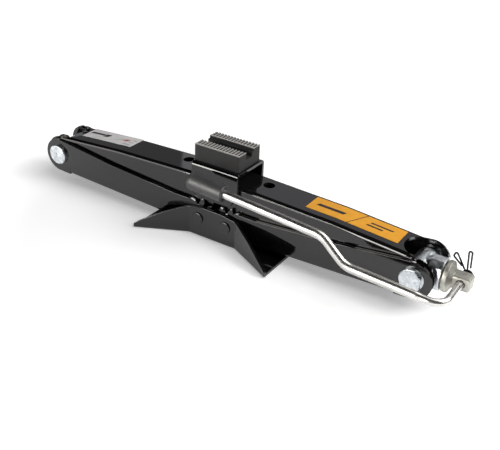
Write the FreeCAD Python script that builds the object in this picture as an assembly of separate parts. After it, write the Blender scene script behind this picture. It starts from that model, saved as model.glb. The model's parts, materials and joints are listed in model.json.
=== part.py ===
import FreeCAD, Part
import math
import os

# Scissor jack, folded flat, in millimetres.
# +X runs along the jack towards the crank eye, +Z is up, and the crank is
# stowed on the -Y side.  The origin is on the ground under the base centre.

# ---- linkage -------------------------------------------------------------
PIVOT_X = 14.6          # base and saddle pivots stand this far from the centre
BASE_PIVOT_Z = 18.9
TRUNNION_X = 187.0
TRUNNION_Z = 31.75      # height of the screw and of both trunnions
SADDLE_PIVOT_Z = 2.0 * TRUNNION_Z - BASE_PIVOT_Z

# ---- fits ----------------------------------------------------------------
RUNNING = 0.05          # radial clearance of each turning pair
PIN_RADIUS = 4.0
RIVET_HEAD_RADIUS = 5.6
RIVET_HEAD_HEIGHT = 1.4
RIVET_RIM = 0.5         # bevelled part of a rivet head's height
TRUNNION_RADIUS = 10.0
TRUNNION_HALF = 24.5    # half length of a trunnion over its two ends
TRUNNION_CHAMFER = 0.9

# ---- sheet thicknesses and widths (outer half widths) ----------------------
BASE_SHEET = 3.0
BASE_HALF = 24.5
LOWER_SHEET = 3.0
LOWER_HALF = 21.1
UPPER_SHEET = 2.5
UPPER_HALF = 17.4
SADDLE_SHEET = 3.0
SADDLE_HALF = 21.1

# ---- gear sectors on the inner arm ends ------------------------------------
TEETH_PER_TURN = 10
PRESSURE_ANGLE = math.radians(25.0)
TIP_RADIUS = 17.6
ROOT_RADIUS = 11.4
TOOTH_THINNING = 0.2    # taken off each flank as backlash
FIRST_TOOTH_DEG = 78.5
FLANK_POINTS = 6

# ---- base bracket ----------------------------------------------------------
BASE_FOLD_X = 25.0
WING_ANGLE = math.radians(27.0)
BASE_END_X = 70.5
FOLD_RADIUS = 7.0
FOOT_EDGE_RADIUS = 2.5
# Corners (x, z) of the side walls' top edge from the middle to a wing tip, with their radii.
WALL_TOP = [(11.0, 30.2), (28.0, 27.0), (47.0, 18.8), (66.5, 7.8), (71.0, 4.3)]
WALL_TOP_RADII = [30.0, 14.0, 40.0, 5.0, 3.0]

# ---- arms ------------------------------------------------------------------
LOWER_EAR = 16.6
LOWER_EAR_DROP = 1.4     # the lower ears' round edge is centred this far below the trunnion
LOWER_HEEL = 12.0        # radius about the base pivot that a lower arm's web is tangent to
UPPER_EAR = 17.0
# Corners (x, z) of a lower arm's top edge, from its bend in to the gear.
LOWER_TOP = [(120.0, 39.2), (44.0, 33.4), (27.5, 33.4), (20.6, 34.8)]
LOWER_WEB_START = 22.0
LOWER_WEB_END = 174.0
UPPER_TOP_Z = 58.1      # top of an upper arm above its saddle pivot
UPPER_BEND_X = 112.0
UPPER_BEND_Z = 54.6
UPPER_WEB_START = 8.5
# Corners (x, z) of an upper arm's bottom edge, from the gear outwards.
UPPER_LIP = [(22.0, 31.2), (46.0, 31.2), (142.0, 29.0)]
GEAR_HUB_MARGIN = 1.0   # the walls run this far past a gear's pivot
ARM_CORNER_RADIUS = 6.0
INNER_BEND_RADIUS = 0.6
NOTCH_RADIUS = 16.6
LOWER_BEND_RADIUS = 3.5
UPPER_BEND_RADIUS = 3.2
DRAIN_HOLE_RADIUS = 5.2
DRAIN_HOLE_Y = 3.7
DRAIN_HOLE_X = {"right": 41.0, "left": 45.5}

# ---- saddle and pad --------------------------------------------------------
SADDLE_HALF_LENGTH = 24.3
SADDLE_TOP_Z = 70.9
SADDLE_LOW_Z = 37.6
SADDLE_CORNER = 8.5
SADDLE_BEND_RADIUS = 3.6
PAD_X = (-24.2, 22.2)
PAD_HALF = 16.5
PAD_TOP_Z = 86.2
GROOVE_Y = (-5.3, 3.6)
GROOVE_STEP_Y = 6.0
GROOVE_FLOOR_Z = 79.2
GROOVE_STEP_Z = 83.4
PAD_CORNER = 0.9
PAD_HOLE_RADIUS = 4.4
PAD_SCREW_X = -1.0
PAD_SCREW_Y = -0.8
PAD_SCREW_RADIUS = 2.45
PAD_SCREW_LENGTH = 7.5
PAD_SCREW_HEAD = (4.2, 2.2)     # radius and height
PAD_SCREW_SEAT = 3.0            # height of the head's seat above the saddle
PAD_SCREW_SLOT = (3.4, 0.6, 1.2)    # half length, half width and floor height
PAD_NUT = (4.3, 1.4)            # radius and thickness

# ---- screw, bearing and crank eye -------------------------------------------
SCREW_RADIUS = 7.0
SCREW_X = (-205.0, 210.0)
SCREW_CHAMFER = 0.6
SCREW_CLEARANCE = 0.4   # radial, where the plain screw runs through the block
STOP_RING_X = (-204.4, -200.6)
STOP_RING_RADIUS = 9.0
HUB_RADIUS = 10.6
HUB_HALF = 14.2
HUB_EDGE = 0.5
CENTRE_DIMPLE = (1.3, 0.8)      # radius and depth
HOUSING_X = (194.5, 205.2)
HOUSING_RADIUS = 13.9
HOUSING_FACETS = 12
HOUSING_CORNER = 2.0
NECK_RADII = (9.8, 12.2)
END_FLAT = 7.9          # flat on the block's pin ends, from their axis
END_FACET = (1.6, 9.6)  # corner (x, z) of the 45 degree cut, from their axis
END_CUT_Y = 0.4         # the two cuts start this far outside the arm
BEARING_POCKET_X = 199.0
BEARING_POCKET_RADIUS = 11.6
RACE_THICKNESS = 1.5
FIXED_RACE_RADII = (11.5, 7.5)
TURNING_RACE_RADIUS = 9.8
BALL_RADIUS = 2.0
BALL_COUNT = 12
BALL_CIRCLE = 9.35
BALL_GAP = 0.03
COVER_THICKNESS = 0.8
COVER_RADIUS = 14.3
COVER_BORE = 10.2
COLLAR_X = (206.9, 211.0)
COLLAR_RADIUS = 13.0
COLLAR_CHAMFER = 0.6
CONE_RADIUS = 11.6      # start of the cone between collar and head
CONE_END_X = 214.5
HEAD_X = (211.0, 227.8)
HEAD_HALF_Y = 6.4
HEAD_HALF_Z = 6.2
HEAD_CORNER = 2.8
HEAD_CHAMFER = 1.2
EYE_X = 220.5
EYE_MOUTH_RADIUS = 4.1
EYE_MOUTH_DEPTH = 0.9

# ---- crank -------------------------------------------------------------------
ROD_RADIUS = 3.85
SHANK_RADIUS = 3.15     # thinner end of the rod, through the bend and the eye
SHANK_START_X = 204.0
SHOULDER_LENGTH = 6.0
CRANK_Y = -40.0
HOOK_Y = -41.8
ROD_TIP_Y = 12.8
HOOK_RADIUS = 12.0
CRANK_BEND_RADIUS = 18.0
CRANK_LOW = (139.0, 34.9)
CRANK_HIGH = (117.5, 54.4)
CRANK_GRIP_MOUTH = (24.0, 61.6)
GRIP_LENGTH = 31.8
GRIP_RADII = (7.5, 8.25)
GRIP_MOUTH_EDGE = 0.9
GRIP_WALL_LENGTH = 27.0
GRIP_CAVITY_RADIUS = 6.0
GRIP_DOME = 3.6
GRIP_PLUG_DEPTH = 1.6
ROD_PAST_WALL = 2.2     # the rod's end stands this far inside the cavity
WASHER = (5.5, 0.4, 1.0)    # radius, gap to the wall and thickness
CLIP_WIRE = 0.75
CLIP_Y = 10.8
# Corners (x, z) of the clip's two legs; both start inside the wire ring on the rod.
CLIP_LEFT = [(217.9, 34.9), (208.7, 49.4), (207.1, 44.4), (214.9, 37.9)]
CLIP_RIGHT = [(219.6, 35.4), (218.2, 52.5), (220.9, 52.5), (221.7, 38.5)]
CLIP_BEND = 1.2

# ---- labels ------------------------------------------------------------------
LABEL_THICKNESS = 0.25
DATA_LABEL_X = (84.0, 167.0)
DATA_LABEL_Y = (-8.4, 12.8)
PICTURE_LABEL_X = (-170.0, -109.0)
PICTURE_LABEL_Y = (-5.0, 15.6)

FAR = 400.0             # longer than the jack, for cutting tools


# ---- small helpers -----------------------------------------------------------
def point(x, y, z):
    return FreeCAD.Vector(x, y, z)


def box(x_span, y_span, z_span):
    size = [span[1] - span[0] for span in (x_span, y_span, z_span)]
    return Part.makeBox(*size, point(x_span[0], y_span[0], z_span[0]))


def rod_between(radius, start, end):
    direction = end - start
    return Part.makeCylinder(radius, direction.Length, start, direction)


def cone_between(radius_start, radius_end, start, end):
    direction = end - start
    return Part.makeCone(radius_start, radius_end, direction.Length, start, direction)


def along_x(radius, x_span, z=TRUNNION_Z, y=0.0):
    return rod_between(radius, point(x_span[0], y, z), point(x_span[1], y, z))


def along_y(radius, half, x, z):
    return rod_between(radius, point(x, -half, z), point(x, half, z))


def mirrored(shape):
    return shape.mirror(point(0, 0, 0), point(1, 0, 0))


def joined(shapes):
    return shapes[0].multiFuse(shapes[1:]).removeSplitter()


def corner_arc(before, corner, after, radius):
    """Tangent arc that rounds one corner, with its two end points."""
    to_before = (before - corner).normalize()
    to_after = (after - corner).normalize()
    half_angle = to_before.getAngle(to_after) / 2.0
    reach = radius / math.tan(half_angle)
    start = corner + to_before * reach
    end = corner + to_after * reach
    bisector = (to_before + to_after).normalize()
    middle = corner + bisector * (radius / math.sin(half_angle) - radius)
    return start, Part.Arc(start, middle, end).toShape(), end


def rounded_path(corners, radii, closed):
    """Wire through the corners, each rounded by its radius (0 keeps it sharp)."""
    count = len(corners)
    pieces = []
    for index, corner in enumerate(corners):
        is_end = not closed and index in (0, count - 1)
        if is_end or radii[index] == 0:
            pieces.append((corner, None, corner))
            continue
        before = corners[index - 1]
        after = corners[(index + 1) % count]
        pieces.append(corner_arc(before, corner, after, radii[index]))
    edges = []
    last = count if closed else count - 1
    for index in range(count):
        if pieces[index][1] is not None:
            edges.append(pieces[index][1])
        if index < last:
            leave = pieces[index][2]
            arrive = pieces[(index + 1) % count][0]
            if (arrive - leave).Length > 1e-6:
                edges.append(Part.makeLine(leave, arrive))
    return Part.Wire(edges)


def side_prism(corners, radii, y_span):
    """Solid with a side-view outline of (x, z) corners, between two y values."""
    path = [point(x, y_span[0], z) for x, z in corners]
    face = Part.Face(rounded_path(path, radii, True))
    return face.extrude(point(0, y_span[1] - y_span[0], 0))


def plan_prism(corners, radii, z_span):
    """Solid with a top-view outline of (x, y) corners, between two z values."""
    path = [point(x, y, z_span[0]) for x, y in corners]
    face = Part.Face(rounded_path(path, radii, True))
    return face.extrude(point(0, 0, z_span[1] - z_span[0]))


def end_prism(corners, radii, x_span):
    """Solid with an end-view outline of (y, z) corners, between two x values."""
    path = [point(x_span[0], y, z) for y, z in corners]
    face = Part.Face(rounded_path(path, radii, True))
    return face.extrude(point(x_span[1] - x_span[0], 0, 0))


def swept_wire(corners, radii, wire_radius):
    """Round bar along straight runs joined by tangent arcs."""
    path = rounded_path(corners, radii, False)
    direction = corners[1] - corners[0]
    profile = Part.Wire(Part.makeCircle(wire_radius, corners[0], direction))
    return path.makePipeShell([profile], True, False)


def save(name, shape):
    if not shape.isValid():
        print("not valid:", name)
    shape.exportStep("parts/" + name + ".step")
    print(name, len(shape.Solids), round(shape.Volume, 1))


# ---- base bracket ------------------------------------------------------------
def base_outline(inset, end_x):
    """Bow-tie plan of the bracket, its long sides moved inwards by inset."""
    fold_x = BASE_FOLD_X + inset * math.tan(WING_ANGLE / 2.0)
    fold_y = BASE_HALF - inset
    end_y = fold_y + (end_x - fold_x) * math.tan(WING_ANGLE)
    corners = [(end_x, -end_y), (end_x, end_y), (fold_x, fold_y), (-fold_x, fold_y)]
    corners += [(-end_x, end_y), (-end_x, -end_y), (-fold_x, -fold_y), (fold_x, -fold_y)]
    fold = FOLD_RADIUS + inset
    return corners, [0, 0, fold, fold, 0, 0, fold, fold]


def base_bracket():
    outer, outer_radii = base_outline(0.0, BASE_END_X)
    inner, inner_radii = base_outline(BASE_SHEET, BASE_END_X + BASE_SHEET)
    tray = plan_prism(outer, outer_radii, (0.0, WALL_TOP[0][1] + 2.0))
    foot_edges = [edge for edge in tray.Edges
                  if edge.BoundBox.ZMax < 0.01 and edge.BoundBox.XLength > 0.01]
    tray = tray.makeFillet(FOOT_EDGE_RADIUS, foot_edges)
    tray = tray.cut(plan_prism(inner, inner_radii, (BASE_SHEET, FAR)))
    right_top = list(reversed(WALL_TOP))
    left_top = [(-x, z) for x, z in WALL_TOP]
    tip = WALL_TOP[-1][0]
    skyline = [(-tip, -1.0), (tip, -1.0)] + right_top + left_top
    radii = [0, 0] + WALL_TOP_RADII[::-1] + WALL_TOP_RADII
    bracket = tray.common(side_prism(skyline, radii, (-FAR, FAR)))
    for x in (-PIVOT_X, PIVOT_X):
        bracket = bracket.cut(along_y(PIN_RADIUS, FAR, x, BASE_PIVOT_Z))
    return bracket


def pivot_pin(x, z, half):
    """Rivet with a flat head on each outer face."""
    shank = along_y(PIN_RADIUS, half, x, z)
    pieces = [shank]
    for side in (-1.0, 1.0):
        start = point(x, side * half, z)
        rim = point(x, side * (half + RIVET_HEAD_HEIGHT - RIVET_RIM), z)
        top = point(x, side * (half + RIVET_HEAD_HEIGHT), z)
        pieces.append(rod_between(RIVET_HEAD_RADIUS, start, rim))
        pieces.append(cone_between(RIVET_HEAD_RADIUS, RIVET_HEAD_RADIUS - RIVET_RIM, rim, top))
    return joined(pieces)


# ---- gear sectors ------------------------------------------------------------
def involute(angle):
    return math.tan(angle) - angle


def tooth_half_angle(radius):
    """Half the angle that one tooth covers at a radius from its pivot."""
    base_radius = PIVOT_X * math.cos(PRESSURE_ANGLE)
    at_radius = math.acos(min(1.0, base_radius / radius))
    half = math.pi / (2 * TEETH_PER_TURN) + involute(PRESSURE_ANGLE) - involute(at_radius)
    return half - TOOTH_THINNING / PIVOT_X


def gear_tooth(middle_angle, y_span):
    """One tooth, from inside the root circle to the tip, about the pivot at 0, 0."""
    base_radius = PIVOT_X * math.cos(PRESSURE_ANGLE)
    radii = [ROOT_RADIUS - 2.0]
    radii += [base_radius + (TIP_RADIUS - base_radius) * step / (FLANK_POINTS - 1.0)
              for step in range(FLANK_POINTS)]
    right = [(radius, middle_angle - tooth_half_angle(radius)) for radius in radii]
    left = [(radius, middle_angle + tooth_half_angle(radius)) for radius in reversed(radii)]
    corners = [(radius * math.cos(angle), radius * math.sin(angle)) for radius, angle in right + left]
    return side_prism(corners, [0] * len(corners), y_span)


def gear_sector(tooth_degrees, flip, x, z, y_span):
    """Hub disc with teeth at the given angles; flip -1 turns the sector over."""
    middle = (y_span[0] + y_span[1]) / 2.0
    half = (y_span[1] - y_span[0]) / 2.0
    hub = along_y(ROOT_RADIUS, half, 0.0, 0.0)
    hub.translate(point(0, middle, 0))
    pieces = [hub]
    for degrees in tooth_degrees:
        pieces.append(gear_tooth(math.radians(flip * degrees), y_span))
    sector = joined(pieces)
    sector.translate(point(x, 0, z))
    return sector


def right_teeth():
    pitch = 360.0 / TEETH_PER_TURN
    return [FIRST_TOOTH_DEG + pitch * number for number in range(4)]


def left_teeth():
    """The left arms are offset by half a pitch, so that the teeth mesh."""
    pitch = 360.0 / TEETH_PER_TURN
    return [FIRST_TOOTH_DEG + pitch * (number + 0.5) for number in range(3)]


# ---- arms (drawn for the right side) -------------------------------------------
def tangent_point(outside, centre, radius, side):
    """Where a line from an outside (x, z) point touches a circle; side is +1 or -1."""
    dx = centre[0] - outside[0]
    dz = centre[1] - outside[1]
    distance = math.hypot(dx, dz)
    angle = math.atan2(dz, dx) + side * math.asin(radius / distance)
    reach = math.sqrt(distance ** 2 - radius ** 2)
    return (outside[0] + reach * math.cos(angle), outside[1] + reach * math.sin(angle))


def arm_silhouette(chain, ear_centre, ear_radius, y_span):
    """Side-view solid: a chain of corners closed by the round ear on the trunnion."""
    top = tangent_point(chain[0], ear_centre, ear_radius, 1.0)
    bottom = tangent_point(chain[-1], ear_centre, ear_radius, -1.0)
    y = y_span[0]
    tip = point(ear_centre[0] + ear_radius, y, ear_centre[1])
    ends = [point(top[0], y, top[1]), point(bottom[0], y, bottom[1])]
    path = [ends[1]] + [point(x, y, z) for x, z in reversed(chain)] + [ends[0]]
    edges = rounded_path(path, [0] + [ARM_CORNER_RADIUS] * len(chain) + [0], False).Edges
    edges.append(Part.Arc(ends[0], tip, ends[1]).toShape())
    face = Part.Face(Part.Wire(Part.__sortEdges__(edges)))
    return face.extrude(point(0, y_span[1] - y_span[0], 0))


def rounded_channel(web_line, half, radius, opening):
    """Long bar under (or over) a web line, its two long corners rounded.

    opening is +1 for a channel that is open at the top and -1 for one open below.
    """
    (x0, z0), (x1, z1) = web_line
    direction = point(x1 - x0, 0, z1 - z0)
    up = opening * FAR
    path = [point(x0, -half, z0), point(x0, half, z0), point(x0, half, z0 + up), point(x0, -half, z0 + up)]
    face = Part.Face(rounded_path(path, [radius, radius, 0, 0], True))
    return face.extrude(direction)


def stretched(inner_end, outer_end, lift):
    """The line through two (x, z) points, 20 mm longer at each end and moved up by lift."""
    (x0, z0), (x1, z1) = inner_end, outer_end
    slope = (z1 - z0) / (x1 - x0)
    start = (x0 - 20.0, z0 - 20.0 * slope + lift)
    end = (x1 + 20.0, z1 + 20.0 * slope + lift)
    return start, end


def side_plates(solid, half, sheet):
    """What is left of a silhouette when the room between its two walls is cut out."""
    gap = box((-FAR, FAR), (sheet - half, half - sheet), (-FAR, FAR))
    return solid.cut(gap)


def lower_arm(teeth):
    base_centre = (PIVOT_X, BASE_PIVOT_Z)
    ear_centre = (TRUNNION_X, TRUNNION_Z - LOWER_EAR_DROP)
    slope = math.atan2(ear_centre[1] - base_centre[1], ear_centre[0] - base_centre[0])
    span = math.hypot(ear_centre[0] - base_centre[0], ear_centre[1] - base_centre[1])
    web_angle = slope - math.asin((LOWER_EAR - LOWER_HEEL) / span)

    def web_z(x):
        """Height of the web's outer face, tangent to the heel circle and to the ear."""
        at_hub = BASE_PIVOT_Z - LOWER_HEEL / math.cos(web_angle)
        return at_hub + (x - PIVOT_X) * math.tan(web_angle)

    hub_x = PIVOT_X + GEAR_HUB_MARGIN
    chain = LOWER_TOP + [(hub_x, BASE_PIVOT_Z), (hub_x, web_z(hub_x))]
    whole = arm_silhouette(chain, ear_centre, LOWER_EAR, (-LOWER_HALF, LOWER_HALF))
    web_line = ((0.0, web_z(0.0)), (FAR, web_z(FAR)))
    inner_line = ((0.0, web_z(0.0) + LOWER_SHEET), (FAR, web_z(FAR) + LOWER_SHEET))
    inner_half = LOWER_HALF - LOWER_SHEET
    web_range = box((LOWER_WEB_START, LOWER_WEB_END), (-FAR, FAR), (-FAR, FAR))
    trough = whole.common(web_range).common(rounded_channel(web_line, LOWER_HALF, LOWER_BEND_RADIUS, 1.0))
    trough = trough.cut(rounded_channel(inner_line, inner_half, INNER_BEND_RADIUS, 1.0))
    plates = side_plates(whole.cut(web_range), LOWER_HALF, LOWER_SHEET)
    pieces = [trough, plates]
    for side in (-1.0, 1.0):
        faces = sorted((side * LOWER_HALF, side * inner_half))
        pieces.append(gear_sector(teeth, 1.0, PIVOT_X, BASE_PIVOT_Z, faces))
    arm = joined(pieces)
    arm = arm.cut(along_y(PIN_RADIUS + RUNNING, FAR, PIVOT_X, BASE_PIVOT_Z))
    return arm.cut(along_y(TRUNNION_RADIUS + RUNNING, FAR, TRUNNION_X, TRUNNION_Z))


def upper_top_corners():
    """Corners of an upper arm's top line, from the saddle outwards."""
    slope = (UPPER_TOP_Z - UPPER_BEND_Z) / (UPPER_BEND_X - PIVOT_X)
    start_z = UPPER_TOP_Z + slope * (PIVOT_X - UPPER_WEB_START)
    bend = (UPPER_BEND_X, UPPER_BEND_Z)
    ear_top = tangent_point(bend, (TRUNNION_X, TRUNNION_Z), UPPER_EAR, 1.0)
    return (UPPER_WEB_START, start_z), bend, ear_top


def upper_arm(teeth, hole_x):
    start, bend, ear_top = upper_top_corners()
    hub_x = PIVOT_X + GEAR_HUB_MARGIN
    chain = [bend, start, (UPPER_WEB_START, SADDLE_PIVOT_Z), (hub_x, SADDLE_PIVOT_Z)] + UPPER_LIP
    ear_centre = (TRUNNION_X, TRUNNION_Z)
    whole = arm_silhouette(chain, ear_centre, UPPER_EAR, (-UPPER_HALF, UPPER_HALF))
    inner_half = UPPER_HALF - UPPER_SHEET
    troughs = []
    for inner_end, outer_end in ((start, bend), (bend, ear_top)):
        reach = box((inner_end[0], outer_end[0]), (-FAR, FAR), (-FAR, FAR))
        outside = stretched(inner_end, outer_end, 0.0)
        inside = stretched(inner_end, outer_end, -UPPER_SHEET)
        trough = whole.common(reach).common(rounded_channel(outside, UPPER_HALF, UPPER_BEND_RADIUS, -1.0))
        troughs.append(trough.cut(rounded_channel(inside, inner_half, INNER_BEND_RADIUS, -1.0)))
    web_range = box((start[0], ear_top[0]), (-FAR, FAR), (-FAR, FAR))
    plates = side_plates(whole.cut(web_range), UPPER_HALF, UPPER_SHEET)
    pieces = troughs + [plates]
    for side in (-1.0, 1.0):
        faces = sorted((side * UPPER_HALF, side * inner_half))
        pieces.append(gear_sector(teeth, -1.0, PIVOT_X, SADDLE_PIVOT_Z, faces))
    arm = joined(pieces)
    notch_floor = ear_top[1] - UPPER_BEND_RADIUS - INNER_BEND_RADIUS
    notch = Part.makeCylinder(NOTCH_RADIUS, FAR, point(TRUNNION_X, 0, notch_floor))
    arm = arm.cut(notch)
    notch_mouth = box((TRUNNION_X, FAR), (-NOTCH_RADIUS, NOTCH_RADIUS), (notch_floor, FAR))
    arm = arm.cut(notch_mouth)
    drain = Part.makeCylinder(DRAIN_HOLE_RADIUS, FAR, point(hole_x, DRAIN_HOLE_Y, SADDLE_PIVOT_Z))
    arm = arm.cut(drain)
    arm = arm.cut(along_y(PIN_RADIUS + RUNNING, FAR, PIVOT_X, SADDLE_PIVOT_Z))
    return arm.cut(along_y(TRUNNION_RADIUS + RUNNING, FAR, TRUNNION_X, TRUNNION_Z))


def arm_label(x_span, y_span):
    """Thin sticker that follows the top of a right-hand upper arm."""
    start, bend, ear_top = upper_top_corners()
    line = [start, bend, ear_top]
    above = [(x, z + LABEL_THICKNESS) for x, z in line]
    corner = ARM_CORNER_RADIUS
    strip = side_prism(line + above[::-1], [0, corner, 0, 0, corner, 0], y_span)
    return strip.common(box(x_span, y_span, (0.0, FAR)))


# ---- saddle --------------------------------------------------------------------
def saddle_bracket():
    low = SADDLE_LOW_Z
    end = SADDLE_HALF_LENGTH
    side_view = [(-end, SADDLE_TOP_Z), (-end, low), (end, low), (end, SADDLE_TOP_Z)]
    radii = [0, SADDLE_CORNER, SADDLE_CORNER, 0]
    whole = side_prism(side_view, radii, (-SADDLE_HALF, SADDLE_HALF))
    half = SADDLE_HALF
    bend = SADDLE_BEND_RADIUS
    shell = end_prism([(-half, 0.0), (half, 0.0), (half, SADDLE_TOP_Z), (-half, SADDLE_TOP_Z)],
                      [0, 0, bend, bend], (-FAR, FAR))
    inner_half = half - SADDLE_SHEET
    inner_top = SADDLE_TOP_Z - SADDLE_SHEET
    room_corners = [(-inner_half, 0.0), (inner_half, 0.0), (inner_half, inner_top), (-inner_half, inner_top)]
    room = end_prism(room_corners, [0, 0, INNER_BEND_RADIUS, INNER_BEND_RADIUS], (-FAR, FAR))
    bracket = whole.common(shell).cut(room)
    for x in (-PIVOT_X, PIVOT_X):
        bracket = bracket.cut(along_y(PIN_RADIUS, FAR, x, SADDLE_PIVOT_Z))
    under_top = point(PAD_SCREW_X, PAD_SCREW_Y, SADDLE_TOP_Z - 2.0 * SADDLE_SHEET)
    return bracket.cut(Part.makeCylinder(PAD_SCREW_RADIUS + RUNNING, FAR, under_top))


def saddle_pad():
    pad = box(PAD_X, (-PAD_HALF, PAD_HALF), (SADDLE_TOP_Z, PAD_TOP_Z))
    tall_edges = [edge for edge in pad.Edges if edge.BoundBox.ZLength > 1.0]
    pad = pad.makeFillet(PAD_CORNER, tall_edges)
    pad = pad.cut(box((-FAR, FAR), GROOVE_Y, (GROOVE_FLOOR_Z, FAR)))
    pad = pad.cut(box((-FAR, FAR), (GROOVE_Y[0], GROOVE_STEP_Y), (GROOVE_STEP_Z, FAR)))
    foot = point(PAD_SCREW_X, PAD_SCREW_Y, SADDLE_TOP_Z)
    seat = foot + point(0, 0, PAD_SCREW_SEAT)
    pad = pad.cut(Part.makeCylinder(PAD_SCREW_RADIUS + RUNNING, FAR, foot))
    return pad.cut(Part.makeCylinder(PAD_HOLE_RADIUS, FAR, seat))


def pad_screw():
    x = PAD_SCREW_X
    y = PAD_SCREW_Y
    seat = SADDLE_TOP_Z + PAD_SCREW_SEAT
    shank = Part.makeCylinder(PAD_SCREW_RADIUS, PAD_SCREW_LENGTH, point(x, y, seat - PAD_SCREW_LENGTH))
    head = Part.makeCylinder(*PAD_SCREW_HEAD, point(x, y, seat))
    long_half, short_half, floor = PAD_SCREW_SLOT
    screw = joined([shank, head])
    for half_x, half_y in ((long_half, short_half), (short_half, long_half)):
        slot = box((x - half_x, x + half_x), (y - half_y, y + half_y), (seat + floor, FAR))
        screw = screw.cut(slot)
    return screw


def pad_nut():
    """Flat nut under the saddle top that the pad screw bites into."""
    bottom = point(PAD_SCREW_X, PAD_SCREW_Y, SADDLE_TOP_Z - SADDLE_SHEET - PAD_NUT[1])
    nut = Part.makeCylinder(*PAD_NUT, bottom)
    return nut.cut(Part.makeCylinder(PAD_SCREW_RADIUS, PAD_NUT[1], bottom))


# ---- trunnions, bearing and screw ------------------------------------------------
def trunnion_cross(x):
    """Barrel between the arms with a journal through the ears on each side."""
    barrel = along_y(HUB_RADIUS, HUB_HALF, x, TRUNNION_Z)
    rims = [edge for edge in barrel.Edges if edge.Closed]
    barrel = barrel.makeFillet(HUB_EDGE, rims)
    journal = along_y(TRUNNION_RADIUS, TRUNNION_HALF, x, TRUNNION_Z)
    ends = [edge for edge in journal.Edges if edge.Closed]
    return joined([barrel, journal.makeChamfer(TRUNNION_CHAMFER, ends)])


def trunnion_nut():
    cross = trunnion_cross(-TRUNNION_X)
    radius, depth = CENTRE_DIMPLE
    for side in (-1.0, 1.0):
        floor = point(-TRUNNION_X, side * (TRUNNION_HALF - depth), TRUNNION_Z)
        cross = cross.cut(rod_between(radius, floor, point(-TRUNNION_X, side * FAR, TRUNNION_Z)))
    return cross.cut(along_x(SCREW_RADIUS + RUNNING, (-FAR, FAR)))


def faceted_cup():
    """Twelve-sided bearing seat, its long edges just touching the outer radius."""
    corners = []
    for number in range(HOUSING_FACETS):
        angle = 2.0 * math.pi * (number + 0.5) / HOUSING_FACETS
        corners.append((HOUSING_RADIUS * math.cos(angle), TRUNNION_Z + HOUSING_RADIUS * math.sin(angle)))
    return end_prism(corners, [HOUSING_CORNER] * HOUSING_FACETS, HOUSING_X)


def trunnion_block():
    neck = cone_between(NECK_RADII[0], NECK_RADII[1], point(TRUNNION_X, 0, TRUNNION_Z),
                        point(HOUSING_X[0], 0, TRUNNION_Z))
    block = joined([trunnion_cross(TRUNNION_X), neck, faceted_cup()])
    for side in (-1.0, 1.0):
        cut_y = sorted((side * (LOWER_HALF + END_CUT_Y), side * FAR))
        block = block.cut(box((TRUNNION_X + END_FLAT, FAR), cut_y, (0.0, FAR)))
        facet = box((0.0, 2.0 * TRUNNION_RADIUS), cut_y, (0.0, 2.0 * TRUNNION_RADIUS))
        facet.rotate(point(0, 0, 0), point(0, 1, 0), 45.0)
        facet.translate(point(TRUNNION_X + END_FACET[0], 0, TRUNNION_Z + END_FACET[1]))
        block = block.cut(facet)
    block = block.cut(along_x(BEARING_POCKET_RADIUS, (BEARING_POCKET_X, FAR)))
    return block.cut(along_x(SCREW_RADIUS + SCREW_CLEARANCE, (0.0, FAR)))


def ring(x_span, outer, inner):
    return along_x(outer, x_span).cut(along_x(inner, (-FAR, FAR)))


def bearing_balls():
    x = BEARING_POCKET_X + RACE_THICKNESS + BALL_GAP + BALL_RADIUS
    balls = []
    for number in range(BALL_COUNT):
        angle = 2.0 * math.pi * number / BALL_COUNT
        centre = point(x, BALL_CIRCLE * math.cos(angle), TRUNNION_Z + BALL_CIRCLE * math.sin(angle))
        balls.append(Part.makeSphere(BALL_RADIUS, centre))
    return Part.makeCompound(balls)


def turning_race_x():
    return BEARING_POCKET_X + RACE_THICKNESS + 2.0 * (BALL_GAP + BALL_RADIUS)


def bearing_cover():
    """Thin pale ring that closes the bearing pocket."""
    x_span = (HOUSING_X[1], HOUSING_X[1] + COVER_THICKNESS)
    return ring(x_span, COVER_RADIUS, COVER_BORE)


def lead_screw():
    shaft = along_x(SCREW_RADIUS, SCREW_X)
    start = [edge for edge in shaft.Edges if edge.Closed and edge.BoundBox.XMax < 0]
    return shaft.makeChamfer(SCREW_CHAMFER, start)


def screw_head():
    """Collar, cone and crank eye, forged in one piece on the screw's end."""
    collar = along_x(COLLAR_RADIUS, COLLAR_X)
    rims = [edge for edge in collar.Edges if edge.Closed]
    collar = collar.makeChamfer(COLLAR_CHAMFER, rims)
    cone = cone_between(CONE_RADIUS, HEAD_HALF_Y, point(COLLAR_X[1], 0, TRUNNION_Z),
                        point(CONE_END_X, 0, TRUNNION_Z))
    low = TRUNNION_Z - HEAD_HALF_Z
    high = TRUNNION_Z + HEAD_HALF_Z
    corners = [(-HEAD_HALF_Y, low), (HEAD_HALF_Y, low), (HEAD_HALF_Y, high), (-HEAD_HALF_Y, high)]
    block = end_prism(corners, [HEAD_CORNER] * 4, HEAD_X)
    end_edges = [edge for edge in block.Edges if edge.BoundBox.XMin > HEAD_X[1] - 0.01]
    block = block.makeChamfer(HEAD_CHAMFER, end_edges)
    head = joined([collar, cone, block])
    head = head.cut(along_y(SHANK_RADIUS + RUNNING, FAR, EYE_X, TRUNNION_Z))
    for side in (-1.0, 1.0):
        floor = point(EYE_X, side * (HEAD_HALF_Y - EYE_MOUTH_DEPTH), TRUNNION_Z)
        face = point(EYE_X, side * HEAD_HALF_Y, TRUNNION_Z)
        head = head.cut(cone_between(SHANK_RADIUS, EYE_MOUTH_RADIUS, floor, face))
    return head.cut(along_x(SCREW_RADIUS, (0.0, SCREW_X[1])))


# ---- crank -----------------------------------------------------------------------
def crank_point(x_and_z):
    return point(x_and_z[0], CRANK_Y, x_and_z[1])


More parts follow.
